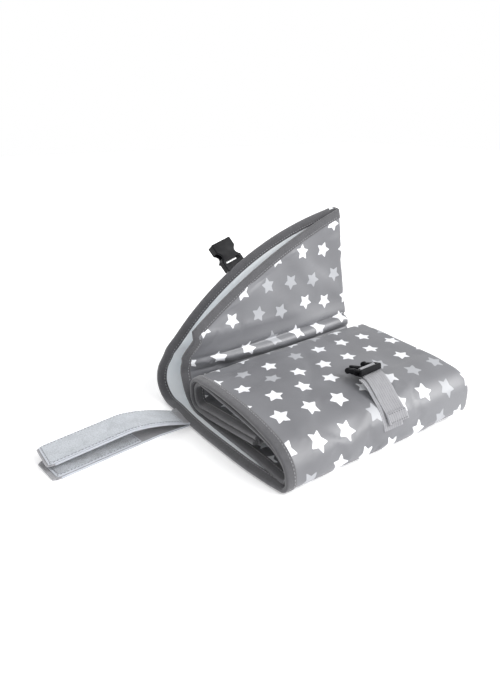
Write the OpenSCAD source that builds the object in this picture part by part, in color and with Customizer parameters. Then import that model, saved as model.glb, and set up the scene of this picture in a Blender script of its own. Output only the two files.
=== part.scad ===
// Folding changing pad, rolled up as a clutch: a padded mat folded in half along its right side,
// then folded across into a base, a front, a top and a short inner panel, with an arched flap at
// the other end, a side release buckle and a hook and loop strap at the left side.
// Origin: underside, middle of the rolled clutch. +X right along the front, +Y back, +Z up.

/* [Clutch] */
// Width of the rolled clutch, from its left edge to the lengthwise fold
pad_w = 240; // [200:10:300]
// Depth from the front face to the middle of the top
half_depth = 77; // [70:1:100]
// Height of the rolled clutch
clutch_h = 50; // [46:1:60]
// How far the base reaches behind the middle of the top
base_reach = 113; // [108:1:130]
// Length of the short inner panel
inner_l = 104; // [60:2:110]

/* [Cloth] */
// Thickness of the printed outer fabric
shell_t = 0.8; // [0.4:0.1:1.2]
// Thickness of the foam between the fabrics
foam_t = 2.4; // [1:0.2:4]
// Thickness of the lining fabric
lining_t = 0.5; // [0.3:0.1:1]
// Air gap between the two leaves of a folded panel
leaf_gap = 1.5; // [0.8:0.1:3]
// Visible width of the binding tape
bind_w = 10.5; // [8:0.5:14]

/* [Flap] */
// Lean of the raised flap, degrees behind upright
flap_lean = 9.5; // [0:0.5:15]
// Angle between the outer and the inner leaf of the flap
leaf_wedge = 8; // [4:0.5:10]
// Height of the flap's tip above its crease
flap_h = 138; // [110:2:150]

/* [Buckle] */
// Width of the side release buckle
buckle_w = 27; // [25:0.5:30]
// Length of the female half
female_l = 30; // [28:1:36]
// Webbing width at the buckle
web_w = 22; // [20:0.5:24]
// Webbing thickness
web_t = 1.4; // [1:0.1:2]

/* [Strap] */
// Width of the hook and loop strap
strap_w = 36; // [30:1:40]
// Length of the strap's tails
strap_l = 143; // [100:1:160]

/* [Hidden] */
$fn = 96;

leaf_t = shell_t + foam_t + lining_t;
fold_t = 2 * leaf_t + leaf_gap;
hair = 0.3;

// Depths, from a leaf's outer face, of its three layers.
shell_d = [0, shell_t];
foam_d = [shell_t, shell_t + foam_t];
lining_d = [shell_t + foam_t, leaf_t];

// Places along X: the fold at the right, the two leaves' bound edges at the left.
fold_x = pad_w / 2;
inner_edge_x = -pad_w / 2;
outer_edge_x = inner_edge_x - 10;
top_edge_x = inner_edge_x - 3;

// The roll's side view, walked over its outer face: base, front, shoulder, top, back, inner panel.
front_y = -half_depth;
front_z = fold_t + hair;
round_r = clutch_h - front_z;
round_y = front_y + round_r;
front_a = 15;
shoulder_flat = 26;
top_l = 2 * half_depth - round_r - shoulder_flat + 2.1;
top_y = round_y + shoulder_flat;
back_y = top_y + top_l;
back_drop = 20;
inner_rise = 6;

front_path = [[round_r, front_a]];
top_path = [[0, top_l - hair]];
back_path = [[fold_t, 90], [0, back_drop], [fold_t, 90 + inner_rise]];

// Riser and crease.
riser_y = base_reach - 10;
riser_top_y = 95;
riser_top_z = 49;
riser_right_x = 110;
riser_back_low = base_reach + 4;
riser_back_high = 142;
crease_y = 97.5;
crease_z = 57;
welt_r = 7;
flap_x = 105;
flap_gap = welt_r + 0.6;
outer_arch = [60.6, -241.3 + flap_h - 138, 384.8];
inner_arch = [229.9, -606.5 + flap_h - 138, 777.5];
outer_leaf_w = 240;
inner_leaf_w = 222;

// Strap root and buckle places.
strap_root_x = outer_edge_x - 7;
strap_y = 68;
tape_t = 1.6;
straight_l = 35;
tip_drift = 14;
rise_l = 62;
rise_h = 12.5;
tail_z = 3.6;
tail_fall = 0.11;
tape_gap = 0.15;
seam_a = 19;
lift_a = 54;
lead_l = 31;
bar_clear = 1.5;
web_x = 1;
male_x = 15;
male_tilt = -11;
male_roll = -6;
male_yaw = 9;
frame_t = 7;
bar_l = 3;
slot_l = 1.9;
mid_bar = 1.6;
rear_bar = 1.1;
frame_l = bar_l + 2 * slot_l + mid_bar + rear_bar;
guide_l = 18.2;
prong_l = 11.4;
prong_t = 5.8;
female_t = 11;
female_u = 138.3;
female_off = 5.1;
female_v = 85.8;
female_turn = [-28.9, -15.1, 12.8];

// ---- profile helpers ----

// Point at depth d inside the outer face, at pos while walking in direction dir.
function inside(pos, dir, d) = pos + d * [sin(dir), -cos(dir)];

// Points of an arc of a clockwise bend whose outer radius is r, at depth d.
function bend(pos, dir, r, turn, d) =
    let (centre = inside(pos, dir, r), n = ceil(turn / 6))
    [for (i = [0 : n]) centre - (r - d) * [sin(dir - turn * i / n), -cos(dir - turn * i / n)]];

// Walks a path of [radius, value] steps: radius 0 is a straight of that length, any other radius
// is a clockwise bend of that many degrees.
function walk(path, pos, dir, d, i = 0) =
    i == len(path) ? [] :
    path[i][0] == 0 ?
        let (end = pos + path[i][1] * [cos(dir), sin(dir)])
        concat([inside(pos, dir, d), inside(end, dir, d)], walk(path, end, dir, d, i + 1)) :
        let (centre = inside(pos, dir, path[i][0]), away = dir - path[i][1])
        concat(bend(pos, dir, path[i][0], path[i][1], d),
               walk(path, centre - path[i][0] * [sin(away), -cos(away)], away, d, i + 1));

function turned(list) = [for (i = [len(list) - 1 : -1 : 0]) list[i]];

// A side view polygon in Y and Z, extruded along X from x0 to x1.
module along_x(points, x0, x1) {
    translate([x0, 0, 0]) rotate([90, 0, 90]) linear_extrude(x1 - x0) polygon(points);
}

// One band of a walked path between depths d0 and d1.
module band(path, pos, dir, d0, d1, x0, x1) {
    along_x(concat(walk(path, pos, dir, d0), turned(walk(path, pos, dir, d1))), x0, x1);
}

// A layer of a folded panel: it runs along the outer leaf, round the fold at the right and back
// along the inner leaf.
module folded_layer(path, pos, dir, layer, left) {
    band(path, pos, dir, layer[0], layer[1], left + bind_w, fold_x - layer[0]);
    band(path, pos, dir, fold_t - layer[1], fold_t - layer[0], inner_edge_x + bind_w, fold_x - layer[0]);
    band(path, pos, dir, layer[0], fold_t - layer[0], fold_x - layer[1], fold_x - layer[0]);
}

// The bound left edges of a folded panel's two leaves.
module folded_binding(path, pos, dir, left) {
    band(path, pos, dir, 0, leaf_t, left, left + bind_w);
    band(path, pos, dir, fold_t - leaf_t, fold_t, inner_edge_x, inner_edge_x + bind_w);
}

shell_grey = [0.52, 0.52, 0.54];
foam_white = [0.93, 0.93, 0.9];
lining_white = [0.9, 0.94, 0.96];
binding_grey = [0.38, 0.37, 0.39];
web_grey = [0.55, 0.55, 0.57];
tape_grey = [0.66, 0.69, 0.72];
buckle_black = [0.06, 0.06, 0.065];

// ---- base ----

base_pos = [base_reach, 0];
base_path = [[0, base_reach + half_depth]];

module base_shell() { color(shell_grey) folded_layer(base_path, base_pos, 180, shell_d, outer_edge_x); }
module base_foam() { color(foam_white) folded_layer(base_path, base_pos, 180, foam_d, outer_edge_x); }
module base_lining() { color(lining_white) folded_layer(base_path, base_pos, 180, lining_d, outer_edge_x); }
module base_binding() { color(binding_grey) folded_binding(base_path, base_pos, 180, outer_edge_x); }

// ---- front strip, the narrow part behind the front crease ----

front_pos = [front_y, front_z];

module front_shell() { color(shell_grey) folded_layer(front_path, front_pos, 90, shell_d, top_edge_x); }
module front_foam() { color(foam_white) folded_layer(front_path, front_pos, 90, foam_d, top_edge_x); }
module front_lining() { color(lining_white) folded_layer(front_path, front_pos, 90, lining_d, top_edge_x); }
module front_binding() { color(binding_grey) folded_binding(front_path, front_pos, 90, top_edge_x); }

// ---- shoulder, round from the front strip to the flat top ----

shoulder_start = front_a + 0.5;
shoulder_pos = [round_y - round_r * cos(shoulder_start), front_z + round_r * sin(shoulder_start)];
shoulder_run = [[round_r, 90 - shoulder_start], [0, shoulder_flat - hair]];

module shoulder_layer(layer) {
    folded_layer(shoulder_run, shoulder_pos, 90 - shoulder_start, layer, top_edge_x);
}
module shoulder_shell() { color(shell_grey) shoulder_layer(shell_d); }
module shoulder_foam() { color(foam_white) shoulder_layer(foam_d); }
module shoulder_lining() { color(lining_white) shoulder_layer(lining_d); }
module shoulder_binding() {
    color(binding_grey) folded_binding(shoulder_run, shoulder_pos, 90 - shoulder_start, top_edge_x);
}

// ---- top panel ----

top_pos = [top_y, clutch_h];

module top_shell() { color(shell_grey) folded_layer(top_path, top_pos, 0, shell_d, top_edge_x); }
module top_foam() { color(foam_white) folded_layer(top_path, top_pos, 0, foam_d, top_edge_x); }
module top_lining() { color(lining_white) folded_layer(top_path, top_pos, 0, lining_d, top_edge_x); }
module top_binding() { color(binding_grey) folded_binding(top_path, top_pos, 0, top_edge_x); }

// ---- inner panel, with the back fold that it hangs from ----

inner_pos = [back_y, clutch_h];
inner_run = concat(back_path, [[0, inner_l - bind_w]]);
end_dir = -90 - 90 - inner_rise;
end_pos = [back_y, clutch_h - fold_t - back_drop]
    + fold_t * [cos(-90 - inner_rise), sin(-90 - inner_rise)]
    + (inner_l - bind_w) * [cos(end_dir), sin(end_dir)];

module inner_shell() { color(shell_grey) folded_layer(inner_run, inner_pos, 0, shell_d, top_edge_x); }
module inner_foam() { color(foam_white) folded_layer(inner_run, inner_pos, 0, foam_d, top_edge_x); }
module inner_lining() { color(lining_white) folded_layer(inner_run, inner_pos, 0, lining_d, top_edge_x); }
module inner_binding() { color(binding_grey) folded_binding(inner_run, inner_pos, 0, top_edge_x); }

// The binding across the far end: round one leaf, the other leaf and the fold between them.
module end_band(d0, d1, x0, x1) { band([[0, bind_w]], end_pos, end_dir, d0, d1, x0, x1); }
module inner_end_binding() {
    color(binding_grey) {
        end_band(0, leaf_t, top_edge_x, fold_x - leaf_t);
        end_band(fold_t - leaf_t, fold_t, inner_edge_x, fold_x - leaf_t);
        end_band(0, fold_t, fold_x - leaf_t, fold_x);
    }
}

// ---- riser, between the base and the crease ----

// Side view of the riser's inner leaf between depths d0 and d1 from its front face.
function riser_front(d0, d1) = [
    [riser_y + d0, front_z], [riser_y + d1, front_z],
    [riser_top_y + d1, riser_top_z], [riser_top_y + d0, riser_top_z]
];

// Side view of the outer leaf between depths d0 and d1 from its back face, at either end.
function riser_back(low, high, d0, d1) = [
    [low - d1, front_z], [low - d0, front_z],
    [high - d0, riser_top_z], [high - d1, riser_top_z]
];
function riser_back_right(d0, d1) = riser_back(riser_y + fold_t, riser_top_y + fold_t, d0, d1);
function riser_back_left(d0, d1) = riser_back(riser_back_low, riser_back_high, d0, d1);

// How far the outer leaf has moved from its right to its left end at x, as a share.
riser_turn_x = riser_right_x - leaf_t;
function riser_share(x) = (riser_turn_x - x) / (riser_turn_x - outer_edge_x);
function riser_back_at(x, d0, d1) =
    (1 - riser_share(x)) * riser_back_right(d0, d1) + riser_share(x) * riser_back_left(d0, d1);

// The outer leaf is a twisted slab: each of its faces is split along one diagonal, so that its
// layers stay parallel.
module riser_outer(d0, d1, x0, x1) {
    corners = [for (x = [x0, x1]) for (p = riser_back_at(x, d0, d1)) [x, p[0], p[1]]];
    polyhedron(corners, [
        [0, 1, 2], [0, 2, 3], [4, 6, 5], [4, 7, 6],
        [0, 4, 5], [0, 5, 1], [3, 2, 6], [3, 6, 7],
        [1, 5, 6], [1, 6, 2], [0, 7, 4], [0, 3, 7]
    ]);
}

module riser_layer(layer) {
    along_x(riser_front(layer[0], layer[1]), inner_edge_x + bind_w, riser_right_x - layer[0]);
    riser_outer(layer[0], layer[1], outer_edge_x + bind_w, riser_turn_x);
    along_x(riser_back_right(layer[0], layer[1]), riser_turn_x - 0.01, riser_right_x - layer[0]);
    along_x(riser_front(layer[0], fold_t - layer[0]), riser_right_x - layer[1], riser_right_x - layer[0]);
}
module riser_shell() { color(shell_grey) riser_layer(shell_d); }
module riser_foam() { color(foam_white) riser_layer(foam_d); }
module riser_lining() { color(lining_white) riser_layer(lining_d); }
module riser_binding() {
    color(binding_grey) {
        along_x(riser_front(0, leaf_t), inner_edge_x, inner_edge_x + bind_w);
        riser_outer(0, leaf_t, outer_edge_x, outer_edge_x + bind_w);
    }
}

// The padded roll under the flap's crease, on the crease's own axis.
module crease_welt() {
    color(shell_grey) translate([inner_edge_x, crease_y, crease_z]) rotate([0, 90, 0])
        cylinder(r = welt_r, h = flap_x - inner_edge_x);
}

// ---- flap ----

// The flap's frame: X right, Y back through the leaves, Z up the lean, from the crease's right end.
module on_flap() { translate([flap_x, crease_y, crease_z]) rotate([-flap_lean, 0, 0]) children(); }
module on_outer_leaf() { on_flap() rotate([0, 0, -leaf_wedge]) children(); }

// A flat outline, drawn to the left and up, as a plate from depth n0 to n1.
module plate(n0, n1) {
    translate([0, n1, 0]) rotate([90, 0, 0]) linear_extrude(n1 - n0) mirror([1, 0, 0]) children();
}

// The area under an arched edge, with the bound edges cut back by cut.
module arched(arch, w, right, cut) {
    intersection() {
        translate([right, flap_gap]) square([w - right - cut, 1.5 * flap_h]);
        translate([-arch[0], arch[1]]) circle(arch[2] - cut, $fn = 360);
    }
}

module flap_layer(layer) {
    on_flap() plate(layer[0] - fold_t / 2, layer[1] - fold_t / 2)
        arched(inner_arch, inner_leaf_w, layer[0], bind_w);
    on_outer_leaf() plate(fold_t / 2 - layer[1], fold_t / 2 - layer[0])
        arched(outer_arch, outer_leaf_w, 1 + layer[0], bind_w);
}
module flap_shell() {
    color(shell_grey) {
        flap_layer(shell_d);
        on_flap() translate([-shell_t, -fold_t / 2, flap_gap])
            cube([shell_t, fold_t - 0.4, flap_h - bind_w - flap_gap - 1]);
    }
}
module flap_foam() { color(foam_white) flap_layer(foam_d); }
module flap_lining() { color(lining_white) flap_layer(lining_d); }
module flap_binding() {
    color(binding_grey) {
        on_flap() plate(-fold_t / 2, leaf_t - fold_t / 2) difference() {
            arched(inner_arch, inner_leaf_w, 0, 0);
            arched(inner_arch, inner_leaf_w, -1, bind_w);
        }
        on_outer_leaf() plate(fold_t / 2 - leaf_t, fold_t / 2) difference() {
            arched(outer_arch, outer_leaf_w, 1, 0);
            arched(outer_arch, outer_leaf_w, 0, bind_w);
        }
    }
}

// ---- hook and loop strap at the left ----

module strap_anchor() {
    color(web_grey) translate([strap_root_x, strap_y, 0]) cube([outer_edge_x - strap_root_x, strap_w, 3.4]);
}

// Plan of the tail that lies on the ground: it drifts towards the front at its tip.
module lower_plan(from, to, inset) {
    function edge(s) = s < straight_l ? 0 : -tip_drift * (s - straight_l) / (strap_l - straight_l);
    stops = from < straight_l ? [from, straight_l, to] : [from, to];
    polygon(concat(
        [for (s = stops) [strap_root_x - hair - s, strap_y + edge(s) + inset]],
        [for (s = turned(stops)) [strap_root_x - hair - s, strap_y + strap_w + edge(s) - inset]]));
}
module lower_tail() { color(web_grey) linear_extrude(tape_t) lower_plan(0, strap_l, 0); }
module hook_tape() {
    color(tape_grey) translate([0, 0, tape_t]) linear_extrude(tape_t) lower_plan(54, strap_l - 4, 1.5);
}

// Side view of the tail that springs clear of the ground, as a rise over its length.
function tail_rise(s) = rise_h * sin(min(s / rise_l, 1) * 90) - max(0, s - rise_l) * tail_fall;
module tail_band(from, to, z0, z1, y0, y1) {
    steps = [for (i = [0 : 16]) from + (to - from) * i / 16];
    translate([0, y1, 0]) rotate([90, 0, 0]) linear_extrude(y1 - y0) polygon(concat(
        [for (s = steps) [strap_root_x - hair - s, z0 + tail_rise(s)]],
        [for (s = turned(steps)) [strap_root_x - hair - s, z1 + tail_rise(s)]]));
}
module upper_tail() {
    color(web_grey) tail_band(0, strap_l - 1, tail_z, tail_z + tape_t, strap_y - 2, strap_y - 2 + strap_w);
}
module loop_tape() {
    color(tape_grey) tail_band(8, strap_l - 3, tail_z + tape_t + tape_gap, tail_z + 2 * tape_t + tape_gap,
                               strap_y - 1, strap_y - 3 + strap_w);
}

// ---- male half: webbing sewn to the shoulder, frame, prongs ----

lead_dir = 90 - lift_a;
function on_round(a, r) = [round_y - r * cos(a), front_z + r * sin(a)];
lead_end = on_round(lift_a, round_r + hair) + lead_l * [cos(lead_dir), sin(lead_dir)];
turn_pos = lead_end + [1.2, 1.6];
frame_y = 0.8;
slot_y = frame_y + bar_l;

// One webbing layer: up round the shoulder, then straight on to the frame.
module web_layer(lift, from) {
    r = round_r + hair + lift + web_t;
    band([[r, lift_a - from], [0, lead_l - bar_clear]], on_round(from, r), 90 - from, 0, web_t,
         web_x, web_x + web_w);
}
module male_strap() {
    hem_r = round_r + hair + 3 * web_t + 0.4;
    hem_a = seam_a + 4;
    color(web_grey) {
        web_layer(0, seam_a + 1.5);
        web_layer(web_t + 0.2, hem_a);
        // the free end's hem, folded once more
        band([[hem_r, 12]], on_round(hem_a, hem_r), 90 - hem_a, 0, web_t, web_x, web_x + web_w);
    }
}

// The male half's frame: X along the bars, Y out towards the prongs, from the webbing's last bend.
module on_male() {
    translate([male_x, turn_pos[0], turn_pos[1]])
        rotate([male_tilt, male_roll, male_yaw]) children();
}
module male_frame() {
    slot = [web_w + 1, slot_l, frame_t + 2];
    color(buckle_black) on_male() {
        difference() {
            translate([-buckle_w / 2, frame_y, -frame_t / 2]) cube([buckle_w, frame_l, frame_t]);
            translate([-slot[0] / 2, slot_y, -slot[2] / 2]) cube(slot);
            translate([-slot[0] / 2, slot_y + slot_l + mid_bar, -slot[2] / 2]) cube(slot);
            translate([-slot[0] / 2, slot_y, frame_t / 2 - 2]) cube([slot[0], 2 * slot_l + mid_bar, 3]);
        }
        // the guide between the prongs
        translate([-2, frame_y + frame_l - 0.1, -1.5]) cube([4, guide_l, 3]);
    }
}

// Webbing over the middle bar, between the two slots.
module male_web_turn() {
    color(web_grey) on_male() {
        turn_l = 2 * web_t + mid_bar + 0.4;
        turn_y = slot_y + slot_l + mid_bar / 2 - turn_l / 2;
        translate([-web_w / 2, turn_y, frame_t / 2 - 1.7]) cube([web_w, turn_l, web_t]);
        for (y = [turn_y, turn_y + turn_l - web_t])
            translate([-web_w / 2, y, -frame_t / 2]) cube([web_w, web_t, frame_t - 1.7]);
    }
}

// One spring arm, with the head that catches in the female half.
module prong(side) {
    arm_x = buckle_w / 2 - 4.3;
    head_r = prong_t / 2;
    color(buckle_black) on_male() translate([0, frame_y + frame_l + hair, 0])
        mirror([side < 0 ? 1 : 0, 0, 0]) rotate([90, 0, 90]) translate([0, 0, arm_x]) {
            translate([0, 0.4 - head_r]) linear_extrude(3) square([prong_l - head_r, prong_t - 0.8]);
            translate([prong_l - head_r, 0, -1]) cylinder(r = head_r, h = 5);
        }
}
module male_prong_left() { prong(-1); }
module male_prong_right() { prong(1); }

// ---- female half ----

// The female half's frame: Z out of its mouth, from the middle of its webbing bar.
module on_female() {
    on_outer_leaf() translate([-female_u, fold_t / 2 + female_off, female_v]) rotate(female_turn)
        children();
}
module female_outline() {
    waist_r = 15;
    difference() {
        translate([-buckle_w / 2, 0.8]) square([buckle_w, female_l]);
        for (side = [-1, 1]) translate([side * (buckle_w / 2 + waist_r - 4.2), 13.5]) circle(waist_r);
        translate([-web_w / 2 + 1, 4]) square([web_w - 2, 3.6]);
    }
}
module female_buckle() {
    socket = [buckle_w - 3.5, female_t - 2.6, female_l - 12];
    color(buckle_black) on_female() difference() {
        plate(-female_t / 2, female_t / 2) female_outline();
        translate([-socket[0] / 2, -socket[1] / 2, 13]) cube([socket[0], socket[1], socket[2] + 5]);
    }
}
module female_tab() {
    tab_w = web_w - 3;
    tab_l = 15;
    // up the leaf's back, then away from it to the bar
    color(web_grey) hull() {
        on_outer_leaf() translate([-female_u - tab_w / 2, fold_t / 2 + 3 * hair, female_v - tab_l])
            cube([tab_w, web_t, 1]);
        on_female() translate([-tab_w / 2, -web_t / 2, -1.2]) cube([tab_w, web_t, 0.9]);
    }
}

base_shell();
base_foam();
base_lining();
base_binding();
front_shell();
front_foam();
front_lining();
front_binding();
shoulder_shell();
shoulder_foam();
shoulder_lining();
shoulder_binding();
top_shell();
top_foam();
top_lining();
top_binding();
inner_shell();
inner_foam();
inner_lining();
inner_binding();
inner_end_binding();
riser_shell();
riser_foam();
riser_lining();
riser_binding();
crease_welt();
flap_shell();
flap_foam();
flap_lining();
flap_binding();
strap_anchor();
lower_tail();
hook_tape();
upper_tail();
loop_tape();
male_strap();
male_web_turn();
male_frame();
male_prong_left();
male_prong_right();
female_tab();
female_buckle();
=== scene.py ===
import math
import random

import bmesh
import bpy
import numpy as np
from mathutils import Matrix, Vector


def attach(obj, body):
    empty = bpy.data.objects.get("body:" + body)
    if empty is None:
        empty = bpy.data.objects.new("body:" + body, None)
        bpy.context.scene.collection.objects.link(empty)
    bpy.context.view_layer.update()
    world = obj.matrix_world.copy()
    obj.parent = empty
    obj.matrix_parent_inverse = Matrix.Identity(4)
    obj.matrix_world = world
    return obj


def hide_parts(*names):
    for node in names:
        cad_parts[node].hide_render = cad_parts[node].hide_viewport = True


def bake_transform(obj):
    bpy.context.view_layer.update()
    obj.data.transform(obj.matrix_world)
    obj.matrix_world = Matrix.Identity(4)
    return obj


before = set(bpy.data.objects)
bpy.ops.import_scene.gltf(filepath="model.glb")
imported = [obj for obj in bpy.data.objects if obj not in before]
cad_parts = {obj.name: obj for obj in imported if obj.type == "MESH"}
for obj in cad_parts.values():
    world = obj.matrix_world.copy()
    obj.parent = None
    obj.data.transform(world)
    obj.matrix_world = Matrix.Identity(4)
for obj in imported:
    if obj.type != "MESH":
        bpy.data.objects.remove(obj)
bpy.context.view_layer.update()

MM = 0.001

# ---- the pad's sizes, in millimetres, as the CAD frame has them ----

LEAF_T = 3.7                         # one leaf: printed cloth, foam and lining
FOLD_T = 8.9                         # two leaves and the air between them
BIND_W = 10.5                        # visible width of the binding tape
BIND_PROUD = 0.55                    # how far the tape stands off the cloth
TUCK = 6.0                           # how far the cloth runs in under the tape
FLAP_X, CREASE_Y, CREASE_Z = 105.0, 97.5, 57.0    # the flap's foot, at its fold
LEAN = math.radians(9.5)             # how far the flap leans back
WEDGE = math.radians(8)              # how far its outer leaf stands away from its inner leaf
OUTER_ARCH = (-60.6, -241.3, 384.8)  # centre u, centre v and radius of the outer leaf's arch
INNER_ARCH = (-229.9, -606.5, 777.5)
INNER_SHARE = 0.971                  # the inner leaf's height above its corner, against the outer's
TIP_V = 136.5                        # the flap's topmost row
CORNER_V = 31.0                      # where the inner leaf's upright edge turns into its arch
WEB_MIDDLE = 8.0                     # where the buckle's webbing lies, along the pad
GRID = 4.0                           # spacing of the cloth's grid
COLUMNS = 58                         # points across each leaf
TURN = np.linspace(0, math.pi, 9)[1:-1]           # angles round the fold
CREASE_EVEN = (36.0, 46.0)           # fold heights between which the crease's drop turns even


def unit(rows):
    """Each row as a unit vector."""
    rows = np.asarray(rows, float)
    return rows / np.maximum(np.linalg.norm(rows, axis=-1, keepdims=True), 1e-9)


def distances(points):
    """How far along a line of points each one is."""
    return np.r_[0, np.cumsum(np.linalg.norm(np.diff(points, axis=0), axis=1))]


def on_flap(u, n, v, wedge=0.0):
    """A point of the flap: u left from the fold, n back through the leaves, v up the lean."""
    x = -u * math.cos(wedge) + n * math.sin(wedge)
    y = u * math.sin(wedge) + n * math.cos(wedge)
    return (FLAP_X + x,
            CREASE_Y + y * math.cos(LEAN) + v * math.sin(LEAN),
            CREASE_Z - y * math.sin(LEAN) + v * math.cos(LEAN))


def arch_u(arch, v):
    """How far left the arch is at height v."""
    return arch[0] + math.sqrt(arch[2] ** 2 - (v - arch[1]) ** 2)


# ---- stations along the strip, from the flap's tip to the end of the inner panel ----
# Each holds the outer leaf at the fold (y, z), the inner leaf at the fold (y, z), the fold's x,
# the outer leaf's left edge (x, y, z), the inner leaf's left edge (x, y, z), and how local to the
# left edge each leaf's change is (1 is a straight line across).

def flap_station(v):
    """A row of the raised flap, where both leaves are flat."""
    inner_v = CORNER_V + (v - CORNER_V) * INNER_SHARE
    outer = on_flap(0, FOLD_T / 2, v)
    inner = on_flap(0, -FOLD_T / 2, inner_v)
    edge_a = on_flap(arch_u(OUTER_ARCH, v), FOLD_T / 2, v, WEDGE)
    edge_b = on_flap(min(arch_u(INNER_ARCH, inner_v), arch_u(INNER_ARCH, CORNER_V)),
                     -FOLD_T / 2, inner_v)
    return outer[1:] + inner[1:] + (FLAP_X,) + edge_a + edge_b + (1.0, 1.0)


STATIONS = [
    # outer at fold, inner at fold, fold x, outer edge, inner edge, how local
    (103.4, 66.5, 94.4, 69.0, 105, -124.6, 134.5, 61.4, -118.9, 106.6, 58.6, 1, 5),  # 0 flap's foot
    (102.9, 61, 96.2, 64.4, 105.2, -127.5, 136.7, 53.4, -119.2, 108, 52.6, 1, 5),  # 1 crease
    (102.6, 57, 91.2, 61.8, 105.6, -129.2, 138.4, 48.6, -119.5, 109, 49.4, 1.1, 5),  # 2 welt's top
    (102.4, 50, 88.4, 57.2, 106.5, -131.5, 141.5, 41, -120, 110.5, 44.6, 1.1, 4),  # 3 welt's front
    (103.0, 45, 89.6, 53.0, 107.4, -132.5, 142.8, 35.5, -120.2, 110.4, 41, 1.1, 3.5),  # 4
    (103.2, 43, 91.8, 50.4, 107.8, -132.8, 143.2, 33.5, -120.3, 110.2, 39, 1.15, 3.2),  # 5 dip
    (103.8, 39, 89.6, 46.6, 108.8, -133.3, 143.6, 29, -120.4, 109.4, 36, 1.2, 3),  # 6 riser's top
    (105.5, 30, 92.4, 35, 111, -134, 143, 20, -120.5, 106.5, 28, 1.3, 2.5),  # 7 riser
    (109, 16, 100.5, 19, 114, -134.5, 135.5, 8.5, -120.8, 98.5, 17, 1.5, 2.5),  # 8 riser's foot
    (111.5, 5, 101, 11, 117, -134.5, 124, 2.2, -121, 88, 10, 1.5, 2.5),  # 9 turn
    (105, 0.9, 95, 9.9, 119, -134, 108, 0.9, -121, 76, 6.4, 1.5, 2.5),  # 10 base, back
    (80, 0.9, 75, 9.8, 120, -136, 70, 0.9, -121, 55, 6.0, 1.5, 2.5),  # 11
    (10, 0.9, 10, 9.8, 120, -134.5, 5, 0.9, -121, 5, 8.2, 1.5, 2.5),  # 12 base, middle
    (-45, 0.9, -43, 9.8, 120, -131, -41, 0.9, -121.5, -38, 9.6, 1.5, 2.5),  # 13
    (-68, 0.9, -63, 9.7, 120, -127, -66, 0.9, -121.5, -61, 8.8, 1.5, 2.5),  # 14 base, front
    (-75.5, 2.2, -67.6, 10.3, 120, -125.5, -74.5, 1.8, -121.5, -68, 8.9, 1.5, 2.5),  # 15 crease
    (-78.3, 8, -69, 12.5, 120, -124.3, -77.5, 6.6, -121.5, -70.2, 11, 1.5, 2.5),  # 16
    (-78.6, 17, -69.8, 17, 120, -123.6, -77.3, 14.8, -121.2, -70, 15.2, 1.5, 2.5),  # 17 front
    (-76.6, 31, -68, 28, 120, -123, -72, 26, -120.8, -66, 21.5, 1.6, 2),  # 18 shoulder
    (-66, 43, -60, 35.5, 120, -123, -59, 37, -120.5, -54, 28.5, 1.6, 2),  # 19
    (-46, 49, -43.5, 40.2, 120, -123, -38, 43.6, -120.3, -34, 33, 1.6, 2),  # 20
    (-20, 51.3, -19, 42.4, 120, -123, -10, 48, -120.3, -8, 35.6, 1.6, 2),  # 21 top, front
    (25, 53, 25, 44.1, 120, -123, 30, 50.4, -120.3, 30, 38.6, 1.6, 2),  # 22 top
    (64, 54.4, 63, 45.5, 120, -123, 62, 49.2, -120.3, 60, 40.2, 1.6, 2),  # 23 top, back
    (81, 53, 75.5, 44.6, 120, -122.8, 80, 45.8, -120.3, 73, 39.4, 1.6, 2),  # 24 back turn
    (87.5, 46, 79.2, 40.5, 120, -122.6, 86.8, 38.5, -120.3, 78.4, 35, 1.5, 2),  # 25
    (88.3, 32, 79.8, 31, 120, -122.6, 88, 28, -120.3, 79.6, 27, 1.5, 2),  # 26 wall
    (87.3, 20, 79, 21.5, 120, -122.6, 86.6, 18.5, -120.3, 78.2, 20, 1.5, 2),  # 27
    (82.3, 13.6, 75.5, 19, 120, -122.6, 80.5, 12, -120.3, 74, 17.6, 1.5, 2),  # 28 lower turn
    (72, 12.8, 69, 21.5, 120, -122.6, 66, 10.6, -120.3, 62, 19.2, 1.5, 2),  # 29 inner panel
    (40, 15.7, 39, 24.5, 120, -122.6, 35, 13.4, -120.3, 32, 23.0, 1.5, 2),  # 30
    (5, 19.3, 4, 28.1, 120, -122.6, 3, 18.0, -120.3, -2, 27.4, 1.5, 2),  # 31
    (-27, 22.6, -27, 31.4, 120, -122.6, -27, 22.4, -120.3, -27, 31.0, 1.5, 2),  # 32 its end
]

# The joint that each piece lies across, and the stations where the strip is cut between pieces.
PIECES = [
    # name, first station, last station, bodies, start and end of the bend, the nodes it stands for
    ("flap", None, 7, ("riser", "flap"), ("flap", -8, 7), ("riser", "flap")),
    ("base_back", 7, 12, ("base", "riser"), ("up", 11, 19), ("base",)),
    ("base_front", 12, 17, ("base", "front"), ("up", 10.6, 14.6), ("front",)),
    ("front", 17, 20, ("front", "shoulder"), ("up", 17.2, 24), ("shoulder",)),
    ("top", 20, 22, ("shoulder", "top"), ("back", -26, 4), ("top",)),
    ("inner", 22, 32, ("top", "inner"), ("down", 38, 32), ("inner",)),
]


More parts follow.
